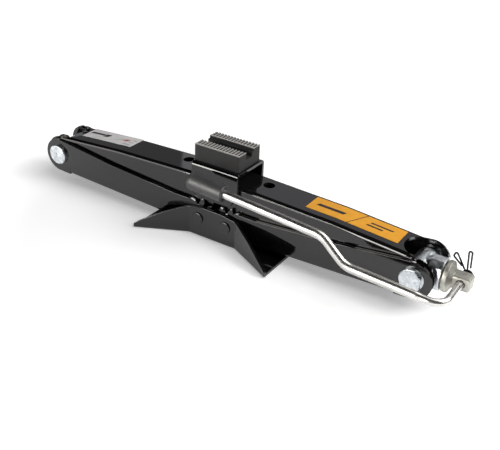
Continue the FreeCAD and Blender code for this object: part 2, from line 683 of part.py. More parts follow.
def grip_frame():
    """Mouth of the grip and the direction in which the rod runs on into it."""
    mouth = crank_point(CRANK_GRIP_MOUTH)
    direction = (mouth - crank_point(CRANK_HIGH)).normalize()
    return mouth, direction


def crank_rod():
    """Bent rod: a thin shank through the eye and the hook, then the full rod up to the grip."""
    mouth, direction = grip_frame()
    tip = point(EYE_X, ROD_TIP_Y, TRUNNION_Z)
    hook = point(EYE_X, HOOK_Y, TRUNNION_Z)
    low = crank_point(CRANK_LOW)
    run = (low - hook).normalize()
    shank_end = hook + run * (EYE_X - SHANK_START_X)
    rod_start = shank_end + run * SHOULDER_LENGTH
    end = mouth + direction * (GRIP_WALL_LENGTH + ROD_PAST_WALL)
    shank = swept_wire([tip, hook, shank_end], [0, HOOK_RADIUS, 0], SHANK_RADIUS)
    shoulder = cone_between(SHANK_RADIUS, ROD_RADIUS, shank_end, rod_start)
    bends = [0, CRANK_BEND_RADIUS, CRANK_BEND_RADIUS, 0]
    rod = swept_wire([rod_start, low, crank_point(CRANK_HIGH), end], bends, ROD_RADIUS)
    return joined([shank, shoulder, rod])


def clip_leg(corners):
    path = [point(x, CLIP_Y, z) for x, z in corners]
    return swept_wire(path, [0, CLIP_BEND, CLIP_BEND, 0], CLIP_WIRE)


def crank_clip():
    """Spring wire wound once round the rod's tip, with two looped legs standing up."""
    ring_radius = SHANK_RADIUS + RUNNING + CLIP_WIRE
    coil = Part.makeTorus(ring_radius, CLIP_WIRE, point(EYE_X, CLIP_Y, TRUNNION_Z), point(0, 1, 0))
    return joined([coil, clip_leg(CLIP_LEFT), clip_leg(CLIP_RIGHT)])


def crank_grip():
    mouth, direction = grip_frame()
    end = mouth + direction * GRIP_LENGTH
    sleeve = cone_between(GRIP_RADII[0], GRIP_RADII[1], mouth, end)
    mouth_edge = [edge for edge in sleeve.Edges if edge.Closed and edge.BoundBox.XMax > mouth.x - 1.0]
    sleeve = sleeve.makeFillet(GRIP_MOUTH_EDGE, mouth_edge)
    bore = rod_between(ROD_RADIUS + RUNNING, mouth - direction, end + direction)
    pocket = rod_between(GRIP_CAVITY_RADIUS, mouth + direction * GRIP_WALL_LENGTH, end + direction)
    return sleeve.cut(bore).cut(pocket)


def grip_cap():
    """Domed plug that closes the grip's outer end."""
    mouth, direction = grip_frame()
    end = mouth + direction * GRIP_LENGTH
    top = end + direction * GRIP_DOME
    dome = rod_between(GRIP_RADII[1], end, top)
    crown = [edge for edge in dome.Edges if edge.Closed and edge.BoundBox.XMax < end.x - GRIP_DOME * 0.5]
    dome = dome.makeFillet(GRIP_DOME - 0.2, crown)
    plug = rod_between(GRIP_CAVITY_RADIUS, end - direction * GRIP_PLUG_DEPTH, end)
    return joined([dome, plug])


def grip_washer():
    """Push-on washer that keeps the grip on the rod."""
    mouth, direction = grip_frame()
    radius, gap, thickness = WASHER
    start = mouth + direction * (GRIP_WALL_LENGTH + gap)
    end = start + direction * thickness
    washer = rod_between(radius, start, end)
    return washer.cut(rod_between(ROD_RADIUS, start - direction, end + direction))


# ---- the whole jack ----------------------------------------------------------------
def save_linkage():
    save("base_bracket", base_bracket())
    sides = {"right": 1.0, "left": -1.0}
    for side, sign in sides.items():
        save("base_pivot_pin_" + side, pivot_pin(sign * PIVOT_X, BASE_PIVOT_Z, BASE_HALF))
        save("saddle_pivot_pin_" + side, pivot_pin(sign * PIVOT_X, SADDLE_PIVOT_Z, SADDLE_HALF))
    save("lower_arm_right", lower_arm(right_teeth()))
    save("lower_arm_left", mirrored(lower_arm(left_teeth())))
    save("upper_arm_right", upper_arm(right_teeth(), DRAIN_HOLE_X["right"]))
    save("upper_arm_left", mirrored(upper_arm(left_teeth(), DRAIN_HOLE_X["left"])))
    save("data_label", arm_label(DATA_LABEL_X, DATA_LABEL_Y))
    picture_x = (-PICTURE_LABEL_X[1], -PICTURE_LABEL_X[0])
    save("picture_label", mirrored(arm_label(picture_x, PICTURE_LABEL_Y)))


def save_saddle():
    save("saddle_bracket", saddle_bracket())
    save("saddle_pad", saddle_pad())
    save("pad_screw", pad_screw())
    save("pad_nut", pad_nut())


def save_drive():
    save("trunnion_nut", trunnion_nut())
    save("trunnion_block", trunnion_block())
    fixed_race = (BEARING_POCKET_X, BEARING_POCKET_X + RACE_THICKNESS)
    save("bearing_race_fixed", ring(fixed_race, FIXED_RACE_RADII[0], FIXED_RACE_RADII[1]))
    save("bearing_balls", bearing_balls())
    turning_race = (turning_race_x(), COLLAR_X[0])
    save("bearing_race_turning", ring(turning_race, TURNING_RACE_RADIUS, SCREW_RADIUS))
    save("bearing_cover", bearing_cover())
    save("lead_screw", lead_screw())
    save("screw_stop_ring", ring(STOP_RING_X, STOP_RING_RADIUS, SCREW_RADIUS))
    save("screw_head", screw_head())


def save_crank():
    save("crank_rod", crank_rod())
    save("crank_clip", crank_clip())
    save("crank_grip", crank_grip())
    save("grip_cap", grip_cap())
    save("grip_washer", grip_washer())


os.makedirs("parts", exist_ok=True)
save_linkage()
save_saddle()
save_drive()
save_crank()
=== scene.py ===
import json
import math

import bmesh
import bpy
from mathutils import Matrix, Vector


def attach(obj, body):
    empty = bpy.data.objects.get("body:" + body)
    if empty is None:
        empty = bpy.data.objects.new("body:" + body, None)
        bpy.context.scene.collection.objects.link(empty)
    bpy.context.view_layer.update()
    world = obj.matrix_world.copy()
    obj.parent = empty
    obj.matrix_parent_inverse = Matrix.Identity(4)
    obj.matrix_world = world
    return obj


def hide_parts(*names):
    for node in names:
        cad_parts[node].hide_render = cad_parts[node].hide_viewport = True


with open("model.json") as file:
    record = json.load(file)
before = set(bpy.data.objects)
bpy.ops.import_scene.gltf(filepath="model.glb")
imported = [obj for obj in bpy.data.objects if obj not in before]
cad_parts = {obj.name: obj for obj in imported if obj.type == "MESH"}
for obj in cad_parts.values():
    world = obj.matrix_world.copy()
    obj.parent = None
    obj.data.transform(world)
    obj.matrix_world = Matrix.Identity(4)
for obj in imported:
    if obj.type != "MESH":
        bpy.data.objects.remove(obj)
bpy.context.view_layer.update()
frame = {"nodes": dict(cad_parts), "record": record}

MM = 0.001

# Camera: azimuth and elevation round the jack, roll, aim point, distance and focal length.
CAMERA_AZIMUTH = math.radians(31.95)
CAMERA_ELEVATION = math.radians(29.95)
CAMERA_ROLL = math.radians(2.44)
CAMERA_AIM = Vector((0.02542, 0.0, 0.014))
CAMERA_DISTANCE = 0.6988
SENSOR_WIDTH = 36.0
FOCAL_LENGTH = 56.15

# Stage: a pale floor, and area lights as (name, place, aim, width, height, watts, colour).
FLOOR_HALF = 8.0
FLOOR_ALBEDO = (0.88, 0.90)     # darkest and lightest
FLOOR_GLOW = (0.34, 0.90)   # the floor's own light, near the jack and far from it
GLOW_REACH = (0.18, 0.36)   # distances from the jack between which it grows
LIGHTS = [
    ("front_softbox", (-0.42, -1.15, 0.32), (0.0, 0.0, 0.05), 0.66, 0.66, 20.0, (1.0, 0.98, 0.94)),
    ("side_softbox", (-0.95, -0.88, 0.30), (0.0, 0.0, 0.05), 0.62, 0.60, 4.0, (1.0, 0.97, 0.94)),
    ("key", (1.02, 0.30, 0.85), (0.0, 0.0, 0.0), 0.70, 0.70, 12.0, (1.0, 0.99, 0.98)),
    ("ceiling", (0.72, -0.08, 0.95), (0.0, 0.0, 0.0), 1.10, 1.10, 11.0, (1.0, 1.0, 1.0)),
    ("metal_card", (0.45, 0.55, 1.00), (0.2, 0.0, 0.03), 0.90, 0.90, 7.0, (1.0, 1.0, 0.98)),
    ("back_card", (-0.42, 1.15, 0.86), (0.05, 0.0, 0.05), 1.00, 0.60, 1.0, (0.98, 0.95, 1.0)),
    ("left_back_card", (-1.05, 1.00, 0.55), (-0.15, 0.0, 0.05), 0.50, 0.45, 0.15, (0.98, 0.97, 1.0)),
]
HIGHLIGHT_ONLY = ("front_softbox", "side_softbox", "metal_card")    # adds nothing to matte faces
MATTE_ONLY = ("ceiling",)               # doesn't show in gloss
METAL_ONLY = ("metal_card",)            # falls on plated metal only, so that the paint stays dark
METAL_SLOTS = ("blue_zinc", "pale_zinc", "bright_zinc", "olive_zinc")
SKY_LOW = 0.9           # world brightness at the horizon
SKY_HIGH = 0.05         # and above it
SKY_BAND = (0.06, 0.16)     # sine of the elevation where it goes from one to the other

# Rounding of the sheet and machined edges of the CAD nodes, in millimetres. Nodes with 0 are only
# cleaned and shaded evenly. The upper arms aren't listed, because rounding leaves spikes in their walls.
EDGE_ROUNDING = {
    "base_bracket": 0.45, "lower_arm_right": 0.4, "lower_arm_left": 0.4,
    "saddle_bracket": 0.5,
    "base_pivot_pin_left": 0.3, "base_pivot_pin_right": 0.3,
    "saddle_pivot_pin_left": 0.3, "saddle_pivot_pin_right": 0.3,
    "trunnion_block": 0.25, "trunnion_nut": 0.25, "bearing_cover": 0.15,
    "bearing_race_fixed": 0.15, "bearing_race_turning": 0.15, "bearing_balls": 0.0,
    "screw_stop_ring": 0.3, "screw_head": 0.3, "pad_screw": 0.15, "pad_nut": 0.15,
    "grip_washer": 0.15, "crank_grip": 0.2, "grip_cap": 0.2, "crank_rod": 0.3,
    "crank_clip": 0.0,
}
# Where the edges of the lower arms are rounded, as distances from the centre along the jack.
ROUNDED_SPAN = {"lower_arm_right": (26.0, 165.0), "lower_arm_left": (26.0, 165.0)}
WHOLE_SPAN = (0.0, 250.0)
SMOOTH_ANGLE = math.radians(30.0)
BLUNT_ANGLE = math.radians(45.0)
BLUNT_NODES = ("trunnion_block", "screw_head")  # only their edges sharper than BLUNT_ANGLE are rounded
FLAT_ANGLE = math.radians(0.5)
MERGE_DISTANCE = 0.001
ROUNDING_SEGMENTS = 3
NORMAL_WEIGHT = 60      # how strongly large faces set the shading of their corners

# Sockets of the colour form of the Mix node.
MIX_AMOUNT, MIX_FIRST, MIX_SECOND, MIX_RESULT = 0, 6, 7, 2

# Lead screw, in millimetres: a trapezoidal thread between two plain ends.
SCREW_AXIS_Z = 31.75
SCREW_END_X = (-205.0, 210.0)
SCREW_CHAMFER = 0.6
THREAD_X = (-198.5, 158.0)
THREAD_PITCH = 3.0
THREAD_CREST = 7.0
THREAD_ROOT = 5.6
THREAD_SINK = 0.3       # the ridge's foot lies this far inside the core
THREAD_WIDTHS = (2.2, 1.1)      # of the ridge at its foot and at its crest
THREAD_STEPS = 36       # per turn
THREAD_FADE = 24        # steps over which the ridge rises at each end

# Saddle pad, in millimetres: two ribbed strips with a stepped groove between them.
PAD_X = (-24.2, 22.2)
PAD_HALF = 16.5
PAD_Z = (70.9, 86.2)
PAD_CORNER = 0.9
GROOVE_Y = (-5.3, 3.6)
GROOVE_Z = 79.2
STEP_Y = 6.0
STEP_Z = 83.4
VALLEY_COUNT = 14
VALLEY_DEPTH = 1.2
VALLEY_SLOPE = 0.3
RIB_LAND = 1.4
STRIP_EDGE = 1.3        # plain edge along the near side of each strip
CREST_DROP = 0.3        # a rib's crest lies this far below the plain edge
PAINTED_HIGHLIGHT_Z = (85.3, 86.3)   # the rubber goes from its own colour to a painted highlight, lighter towards the top, between these heights
HOLE_RADIUS = 4.3
HOLE_PLACE = (-1.0, -0.8)
HOLE_SEAT_Z = 73.9
HOLE_CLEARANCE = 1.0    # the drill stands this far above the pad
PAD_SOFTNESS = 0.14     # rounding of the pad's edges
PAD_CORNER_TURNS = (0.0, 22.5, 45.0, 67.5)      # degrees round a vertical corner
SOFT_SEGMENTS = 2
ROUND_STEPS = 48        # sides of the pad's hole and of the screw's core

# Prints on the labels, in millimetres: (name, x at the near end, x at the far end, near y, far y,
# width along x, ink). They are plain bars in place of lettering and pictures.
PRINT_RISE = 0.05       # above the film
PRINT_SINK = 0.10       # into the film
PRINT_STEP = 1.0        # a print follows the label's bend in steps this long
RAY_START = 1.0         # metres above the floor, where the search for a film's height starts
DATA_PRINTS = [
    ("divider", 121.6, 131.4, -8.3, 12.7, 0.9, "ink"),
    ("wide_bar", 89.5, 91.0, 0.2, 4.0, 25.0, "ink"),
    ("upper_line", 137.5, 138.3, 3.6, 5.6, 20.0, "ink"),
    ("lower_line", 135.8, 136.6, -1.0, 1.0, 14.0, "ink"),
]
PICTURE_PRINTS = [
    ("picture_stem", -168.0, -166.6, 5.0, 8.4, 16.5, "ink"),
    ("picture_foot", -151.0, -149.0, 3.6, 9.2, 6.0, "ink"),
    ("picture_line", -140.0, -121.0, 0.0, 9.0, 0.7, "grey"),
    ("picture_wedge", -126.0, -123.0, 4.0, 7.4, 5.0, "red"),
    ("first_rule", -121.0, -120.0, -1.6, -0.9, 8.0, "grey"),
    ("second_rule", -118.0, -117.0, 3.0, 3.7, 6.0, "grey"),
    ("third_rule", -116.0, -115.0, 8.0, 8.7, 5.0, "grey"),
]
LABELS = [("data_label", "upper_right", DATA_PRINTS), ("picture_label", "upper_left", PICTURE_PRINTS)]


def node_slot(name):
    return next(part["material_slot"] for part in frame["record"]["subparts"] if part["node"] == name)


def place_camera():
    azimuth_cos, azimuth_sin = math.cos(CAMERA_AZIMUTH), math.sin(CAMERA_AZIMUTH)
    level = math.cos(CAMERA_ELEVATION)
    back = Vector((azimuth_sin * level, -azimuth_cos * level, math.sin(CAMERA_ELEVATION)))
    right = Vector((azimuth_cos, azimuth_sin, 0.0))
    up = back.cross(right)
    cos_roll, sin_roll = math.cos(CAMERA_ROLL), math.sin(CAMERA_ROLL)
    x_axis = right * cos_roll + up * sin_roll
    y_axis = up * cos_roll - right * sin_roll
    place = Matrix((x_axis, y_axis, back)).transposed().to_4x4()
    place.translation = CAMERA_AIM + back * CAMERA_DISTANCE
    data = bpy.data.cameras.new("camera")
    data.sensor_width = SENSOR_WIDTH
    data.lens = FOCAL_LENGTH
    camera = bpy.data.objects.new("camera", data)
    bpy.context.scene.collection.objects.link(camera)
    camera.matrix_world = place
    bpy.context.scene.camera = camera


def place_lights():
    for name, place, aim, width, height, watts, colour in LIGHTS:
        data = bpy.data.lights.new(name, "AREA")
        data.shape = "RECTANGLE"
        data.size = width
        data.size_y = height
        data.energy = watts
        data.color = colour
        light = bpy.data.objects.new(name, data)
        light.visible_diffuse = name not in HIGHLIGHT_ONLY
        light.visible_glossy = name not in MATTE_ONLY
        bpy.context.scene.collection.objects.link(light)
        light.location = place
        away = Vector(place) - Vector(aim)
        light.rotation_euler = away.to_track_quat("Z", "Y").to_euler()
        if name in METAL_ONLY:
            metal = bpy.data.collections.new("plated_metal")
            for node in frame["nodes"]:
                if node_slot(node) in METAL_SLOTS:
                    metal.objects.link(frame["nodes"][node])
            light.light_linking.receiver_collection = metal


def build_world():
    """Pale at and below the horizon, dim higher up, like a white sweep in a dark studio."""
    world = bpy.data.worlds.new("studio")
    world.use_nodes = True
    bpy.context.scene.world = world
    tree = world.node_tree
    background = tree.nodes["Background"]
    direction = tree.nodes.new("ShaderNodeTexCoord")
    split = tree.nodes.new("ShaderNodeSeparateXYZ")
    fade = tree.nodes.new("ShaderNodeMapRange")
    fade.interpolation_type = "SMOOTHSTEP"
    fade.inputs["From Min"].default_value = SKY_BAND[0]
    fade.inputs["From Max"].default_value = SKY_BAND[1]
    fade.inputs["To Min"].default_value = SKY_LOW
    fade.inputs["To Max"].default_value = SKY_HIGH
    tree.links.new(direction.outputs["Generated"], split.inputs[0])
    tree.links.new(split.outputs["Z"], fade.inputs["Value"])
    tree.links.new(fade.outputs["Result"], background.inputs["Strength"])


# ---------------------------------------------------------------- materials

class Shader:
    """A node material under construction. Most methods add a node and return its output."""

    def __init__(self, name):
        self.material = bpy.data.materials.new(name)
        self.material.use_nodes = True
        self.tree = self.material.node_tree
        self.surface = self.tree.nodes["Principled BSDF"]
        coordinates = self.tree.nodes.new("ShaderNodeTexCoord")
        self.place = coordinates.outputs["Object"]

    def set(self, node, inputs):
        for name, value in inputs.items():
            socket = node.inputs[name]
            if isinstance(value, bpy.types.NodeSocket):
                self.tree.links.new(value, socket)
            else:
                socket.default_value = value

    def node(self, kind, inputs=None, **settings):
        node = self.tree.nodes.new(kind)
        for name, value in settings.items():
            setattr(node, name, value)
        self.set(node, inputs or {})
        return node

    def noise(self, scale, detail=2.0, stretch=(1.0, 1.0, 1.0)):
        """Noise of about 1/scale metres, smeared along an axis whose stretch is small."""
        mapping = self.node("ShaderNodeMapping", {"Vector": self.place, "Scale": stretch})
        texture = self.node("ShaderNodeTexNoise",
                            {"Vector": mapping.outputs[0], "Scale": scale, "Detail": detail})
        return texture.outputs["Fac"]

    def cells(self, scale):
        """Cells of about 1/scale metres, each of one random colour."""
        texture = self.node("ShaderNodeTexVoronoi", {"Vector": self.place, "Scale": scale})
        return texture.outputs["Color"]

    def ramp(self, value, low, high, start=0.35, end=0.65):
        """Maps value from start..end to low..high."""
        node = self.node("ShaderNodeMapRange", {"Value": value, "From Min": start, "From Max": end,
                                                "To Min": low, "To Max": high})
        return node.outputs["Result"]

    def blend(self, amount, first, second):
        """Colour that goes from first to second as amount goes from 0 to 1."""
        node = self.node("ShaderNodeMix", data_type="RGBA")
        self.set(node, {MIX_AMOUNT: amount, MIX_FIRST: first, MIX_SECOND: second})
        return node.outputs[MIX_RESULT]

    def bump(self, height, distance, strength=1.0, under=None):
        inputs = {"Height": height, "Distance": distance, "Strength": strength}
        if under is not None:
            inputs["Normal"] = under
        return self.node("ShaderNodeBump", inputs).outputs["Normal"]


def grey(level, tint=(1.0, 1.0, 1.0)):
    """Opaque grey of a level, slightly tinted."""
    return (level * tint[0], level * tint[1], level * tint[2], 1.0)


def black_paint():
    """Gloss enamel with a faint orange peel and small changes in gloss."""
    s = Shader("black_paint")
    peel = s.noise(420.0, 3.0)
    haze = s.noise(35.0, 4.0)
    s.set(s.surface, {"Base Color": s.blend(s.ramp(haze, 0.0, 1.0), grey(0.0035),
                                            grey(0.0055, (1.0, 0.96, 0.96))),
                      "Roughness": s.ramp(haze, 0.04, 0.06),
                      "IOR": 1.55,
                      "Normal": s.bump(peel, 0.00002, 0.3)})
    return s.material


def zinc(name, dark, light, roughness, grain, mottle):
    """Zinc plate: spangle patches that differ in tone and gloss over a fine bump."""
    s = Shader(name)
    patches = s.cells(mottle)
    split = s.node("ShaderNodeSeparateColor", {"Color": patches}).outputs[0]
    cloud = s.noise(mottle * 0.4, 4.0)
    fine = s.noise(grain, 4.0)
    tone = s.node("ShaderNodeMath", {0: split, 1: cloud}, operation="MULTIPLY").outputs[0]
    s.set(s.surface, {"Base Color": s.blend(s.ramp(tone, 0.0, 1.0, 0.05, 0.6), dark, light),
                      "Metallic": 1.0,
                      "Roughness": s.ramp(cloud, roughness[0], roughness[1]),
                      "Normal": s.bump(fine, 0.00006, 0.5)})
    return s.material


def drawn_zinc():
    """Bright plated bar with the long fine scratches of drawing."""
    s = Shader("bright_zinc")
    streaks = s.noise(2200.0, 3.0, (0.02, 1.0, 1.0))
    cloud = s.noise(60.0, 3.0)
    s.set(s.surface, {"Base Color": s.blend(s.ramp(cloud, 0.0, 1.0), grey(0.50, (1.0, 0.985, 0.95)),
                                            grey(0.62, (1.0, 0.99, 0.96))),
                      "Metallic": 1.0,
                      "Roughness": s.ramp(streaks, 0.24, 0.36),
                      "Normal": s.bump(streaks, 0.00001, 0.15)})
    return s.material


def forged_zinc():
    """Yellowish plate over a rough forging with pits."""
    s = Shader("olive_zinc")
    rough = s.noise(900.0, 5.0)
    lumps = s.noise(240.0, 3.0)
    cloud = s.noise(90.0, 5.0)
    first = s.bump(lumps, 0.00025, 0.6)
    s.set(s.surface, {"Base Color": s.blend(s.ramp(cloud, 0.0, 1.0), grey(0.25, (1.0, 0.98, 0.86)),
                                            grey(0.44, (1.0, 0.99, 0.91))),
                      "Metallic": 1.0,
                      "Roughness": s.ramp(cloud, 0.60, 0.46),
                      "Normal": s.bump(rough, 0.00010, 0.7, first)})
    return s.material


def rubber():
    """Matte moulded rubber with a fine grain, and a painted highlight that lightens its highest faces."""
    s = Shader("pad_rubber")
    grain = s.noise(1800.0, 3.0)
    bloom = s.noise(110.0, 4.0)
    height = s.node("ShaderNodeSeparateXYZ", {"Vector": s.place}).outputs["Z"]
    # painted highlight: the rib crests and plain edges are lightened by height, in place of the grazing
    # light on them
    painted_highlight = s.ramp(height, 0.0, 1.0, PAINTED_HIGHLIGHT_Z[0] * MM, PAINTED_HIGHLIGHT_Z[1] * MM)
    clean = s.blend(s.ramp(bloom, 0.0, 1.0), grey(0.013), grey(0.024, (1.02, 1.0, 0.97)))
    s.set(s.surface, {"Base Color": s.blend(painted_highlight, clean, grey(0.50, (1.0, 0.96, 0.92))),
                      "Roughness": s.ramp(bloom, 0.62, 0.80),
                      "Specular IOR Level": 0.3,
                      "Normal": s.bump(grain, 0.00005, 0.6)})
    return s.material


def grip_plastic():
    """Semi-matte moulded plastic with a fine spark texture."""
    s = Shader("grip_plastic")
    spark = s.noise(1500.0, 2.0)
    cloud = s.noise(80.0, 3.0)
    s.set(s.surface, {"Base Color": s.blend(s.ramp(cloud, 0.0, 1.0), grey(0.040), grey(0.052)),
                      "Roughness": s.ramp(cloud, 0.42, 0.50),
                      "Normal": s.bump(spark, 0.00004, 0.5)})
    return s.material


def dark_steel(name, level, roughness):
    """Oxide-blackened steel: spring wire and small fasteners."""
    s = Shader(name)
    cloud = s.noise(300.0, 4.0)
    s.set(s.surface, {"Base Color": s.blend(s.ramp(cloud, 0.0, 1.0), grey(level),
                                            grey(level * 1.8, (0.95, 0.97, 1.05))),
                      "Metallic": 0.6,
                      "Roughness": s.ramp(cloud, roughness, roughness + 0.15),
                      "Normal": s.bump(cloud, 0.00004, 0.4)})
    return s.material


def bearing_steel():
    """Ground steel with fine marks across the screw's axis."""
    s = Shader("bearing_steel")
    rings = s.noise(1600.0, 2.0, (1.0, 0.05, 0.05))
    s.set(s.surface, {"Base Color": s.blend(rings, grey(0.50), grey(0.66, (1.0, 1.0, 1.02))),
                      "Metallic": 1.0,
                      "Roughness": s.ramp(rings, 0.10, 0.22)})
    return s.material


def screw_steel():
    """Rolled steel under grease, brown in the thread."""
    s = Shader("screw_steel")
    cloud = s.noise(140.0, 5.0)
    fine = s.noise(1200.0, 3.0)
    s.set(s.surface, {"Base Color": s.blend(s.ramp(cloud, 0.0, 1.0, 0.4, 0.6), grey(0.20, (1.0, 0.86, 0.66)),
                                            grey(0.44, (1.0, 0.97, 0.90))),
                      "Metallic": 0.9,
                      "Roughness": s.ramp(cloud, 0.28, 0.45),
                      "Coat Weight": 0.4, "Coat Roughness": 0.15,
                      "Normal": s.bump(fine, 0.00004, 0.4)})
    return s.material


def film(name, base, shade):
    """Printed film: even colour with the faint mottle of the paint under it."""
    s = Shader(name)
    cloud = s.noise(160.0, 3.0)
    peel = s.noise(380.0, 3.0)
    s.set(s.surface, {"Base Color": s.blend(s.ramp(cloud, 0.0, 1.0), base, shade),
                      "Roughness": s.ramp(cloud, 0.34, 0.42),
                      "Normal": s.bump(peel, 0.00003, 0.4)})
    return s.material


def floor_material():
    """Matte white that glows less near the jack."""
    s = Shader("floor")
    cloud = s.noise(3.0, 2.0)
    distance = s.node("ShaderNodeVectorMath", {0: s.place}, operation="LENGTH").outputs["Value"]
    glow = s.ramp(distance, FLOOR_GLOW[0], FLOOR_GLOW[1], GLOW_REACH[0], GLOW_REACH[1])
    s.set(s.surface, {"Base Color": s.blend(cloud, grey(FLOOR_ALBEDO[0]), grey(FLOOR_ALBEDO[1])),
                      "Roughness": 0.9,
                      "Specular IOR Level": 0.1,
                      "Emission Color": grey(1.0),
                      "Emission Strength": glow})
    return s.material


MATERIALS = {
    "black_paint": black_paint(),
    "blue_zinc": zinc("blue_zinc", grey(0.50, (0.93, 0.99, 1.04)), grey(0.78, (0.95, 1.0, 1.03)),
                      (0.26, 0.40), 900.0, 420.0),
    "pale_zinc": zinc("pale_zinc", grey(0.74), grey(0.88), (0.28, 0.38), 1200.0, 500.0),
    "bright_zinc": drawn_zinc(),
    "olive_zinc": forged_zinc(),
    "pad_rubber": rubber(),
    "grip_plastic": grip_plastic(),
    "spring_wire": dark_steel("spring_wire", 0.020, 0.30),
    "dark_fastener": dark_steel("dark_fastener", 0.030, 0.40),
    "bearing_steel": bearing_steel(),
    "screw_steel": screw_steel(),
    "orange_label": film("orange_label", (0.68, 0.30, 0.017, 1.0), (0.73, 0.335, 0.024, 1.0)),
    "white_label": film("white_label", grey(0.68, (1.0, 0.97, 0.96)), grey(0.76, (1.0, 0.98, 0.97))),
}
INKS = {
    "ink": film("label_ink", grey(0.014), grey(0.022)),
    "grey": film("label_grey", grey(0.16), grey(0.22)),
    "red": film("label_red", (0.42, 0.06, 0.05, 1.0), (0.50, 0.08, 0.06, 1.0)),
}


# ---------------------------------------------------------------- CAD nodes

def cleaning_group():
    """Joins the vertices that the import split, and forgets its stored normals."""
    group = bpy.data.node_groups.new("join_split_edges", "GeometryNodeTree")
    group.interface.new_socket("Geometry", in_out="INPUT", socket_type="NodeSocketGeometry")
    group.interface.new_socket("Geometry", in_out="OUTPUT", socket_type="NodeSocketGeometry")
    source = group.nodes.new("NodeGroupInput")
    result = group.nodes.new("NodeGroupOutput")
    geometry = source.outputs[0]
    for attribute in ("custom_normal", "sharp_edge", "sharp_face"):
        step = group.nodes.new("GeometryNodeRemoveAttribute")
        step.inputs["Name"].default_value = attribute
        group.links.new(geometry, step.inputs["Geometry"])
        geometry = step.outputs["Geometry"]
    merge = group.nodes.new("GeometryNodeMergeByDistance")
    merge.inputs["Distance"].default_value = MERGE_DISTANCE * MM
    group.links.new(geometry, merge.inputs["Geometry"])
    smooth = group.nodes.new("GeometryNodeSetShadeSmooth")
    group.links.new(merge.outputs["Geometry"], smooth.inputs["Geometry"])
    group.links.new(smooth.outputs["Geometry"], result.inputs[0])
    return group


def weighing_group(name, span, sharp_angle):
    """Marks the sharp edges whose middle lies between two distances from the centre, for rounding."""
    group = bpy.data.node_groups.new(name, "GeometryNodeTree")
    group.interface.new_socket("Geometry", in_out="INPUT", socket_type="NodeSocketGeometry")
    group.interface.new_socket("Geometry", in_out="OUTPUT", socket_type="NodeSocketGeometry")
    source = group.nodes.new("NodeGroupInput")
    result = group.nodes.new("NodeGroupOutput")
    store = group.nodes.new("GeometryNodeStoreNamedAttribute")
    store.data_type = "FLOAT"
    store.domain = "EDGE"
    store.inputs["Name"].default_value = "bevel_weight_edge"
    angle = group.nodes.new("GeometryNodeInputMeshEdgeAngle")
    place = group.nodes.new("GeometryNodeInputPosition")
    split = group.nodes.new("ShaderNodeSeparateXYZ")
    steps = []
    for operation in ("GREATER_THAN", "ABSOLUTE", "COMPARE", "MULTIPLY"):
        step = group.nodes.new("ShaderNodeMath")
        step.operation = operation
        steps.append(step)
    sharp, distance, inside, both = steps
    sharp.inputs[1].default_value = sharp_angle
    inside.inputs[1].default_value = (span[0] + span[1]) / 2.0 * MM
    inside.inputs[2].default_value = (span[1] - span[0]) / 2.0 * MM
    group.links.new(angle.outputs["Unsigned Angle"], sharp.inputs[0])
    group.links.new(place.outputs[0], split.inputs[0])
    group.links.new(split.outputs["X"], distance.inputs[0])
    group.links.new(distance.outputs[0], inside.inputs[0])
    group.links.new(sharp.outputs[0], both.inputs[0])
    group.links.new(inside.outputs[0], both.inputs[1])
    group.links.new(source.outputs[0], store.inputs["Geometry"])
    group.links.new(both.outputs[0], store.inputs["Value"])
    group.links.new(store.outputs["Geometry"], result.inputs[0])
    return group


def round_edges(piece, radius):
    """Joins flat faces, rounds the marked edges by a radius in millimetres and evens the shading."""
    flat = piece.modifiers.new("flat_faces", "DECIMATE")
    flat.decimate_type = "DISSOLVE"
    flat.angle_limit = FLAT_ANGLE
    if radius > 0.0:
        weights = piece.modifiers.new("edge_weights", "NODES")
        span = ROUNDED_SPAN.get(piece.name, WHOLE_SPAN)
        sharp_angle = BLUNT_ANGLE if piece.name in BLUNT_NODES else SMOOTH_ANGLE
        weights.node_group = weighing_group(piece.name + "_edges", span, sharp_angle)
        bevel = piece.modifiers.new("rounded_edges", "BEVEL")
        bevel.width = radius * MM
        bevel.segments = ROUNDING_SEGMENTS
        bevel.limit_method = "WEIGHT"
        bevel.use_clamp_overlap = False
        bevel.harden_normals = False
    weigh = piece.modifiers.new("even_shading", "WEIGHTED_NORMAL")
    weigh.mode = "FACE_AREA_WITH_ANGLE"
    weigh.weight = NORMAL_WEIGHT


def finish_cad_nodes():
    """Gives every CAD node its slot's material, and rounds the listed ones."""
    group = cleaning_group()
    for name, node in frame["nodes"].items():
        node.data.materials.clear()
        node.data.materials.append(MATERIALS[node_slot(name)])
        if name in EDGE_ROUNDING:
            clean = node.modifiers.new("join_split_edges", "NODES")
            clean.node_group = group
            round_edges(node, EDGE_ROUNDING[name])


# ---------------------------------------------------------------- pieces

def add_piece(name, mesh, slot, body, replaced=()):
    """A visual piece with its slot's material, riding on a body."""
    piece = bpy.data.objects.new(name, mesh)
    bpy.context.scene.collection.objects.link(piece)
    mesh.materials.append(MATERIALS[slot])
    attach(piece, body)
    if replaced:
        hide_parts(*replaced)
    return piece


def loft(name, sections, smooth=False):
    """Closed mesh through equal-length rings of points in millimetres, capped at both ends."""
    count = len(sections[0])
    corners = [Vector(point) * MM for section in sections for point in section]
    faces = [tuple(reversed(range(count)))]
    for ring in range(len(sections) - 1):
        first = ring * count
        for side in range(count):
            after = (side + 1) % count
            faces.append((first + side, first + after, first + count + after, first + count + side))
    last = (len(sections) - 1) * count
    faces.append(tuple(range(last, last + count)))
    mesh = bpy.data.meshes.new(name)
    mesh.from_pydata(corners, [], faces)
    mesh.polygons.foreach_set("use_smooth", [smooth] * len(mesh.polygons))
    outward(mesh)
    return mesh


def outward(mesh):
    """Turns every face of a closed mesh outwards."""
    work = bmesh.new()
    work.from_mesh(mesh)
    bmesh.ops.recalc_face_normals(work, faces=work.faces)
    work.to_mesh(mesh)
    work.free()


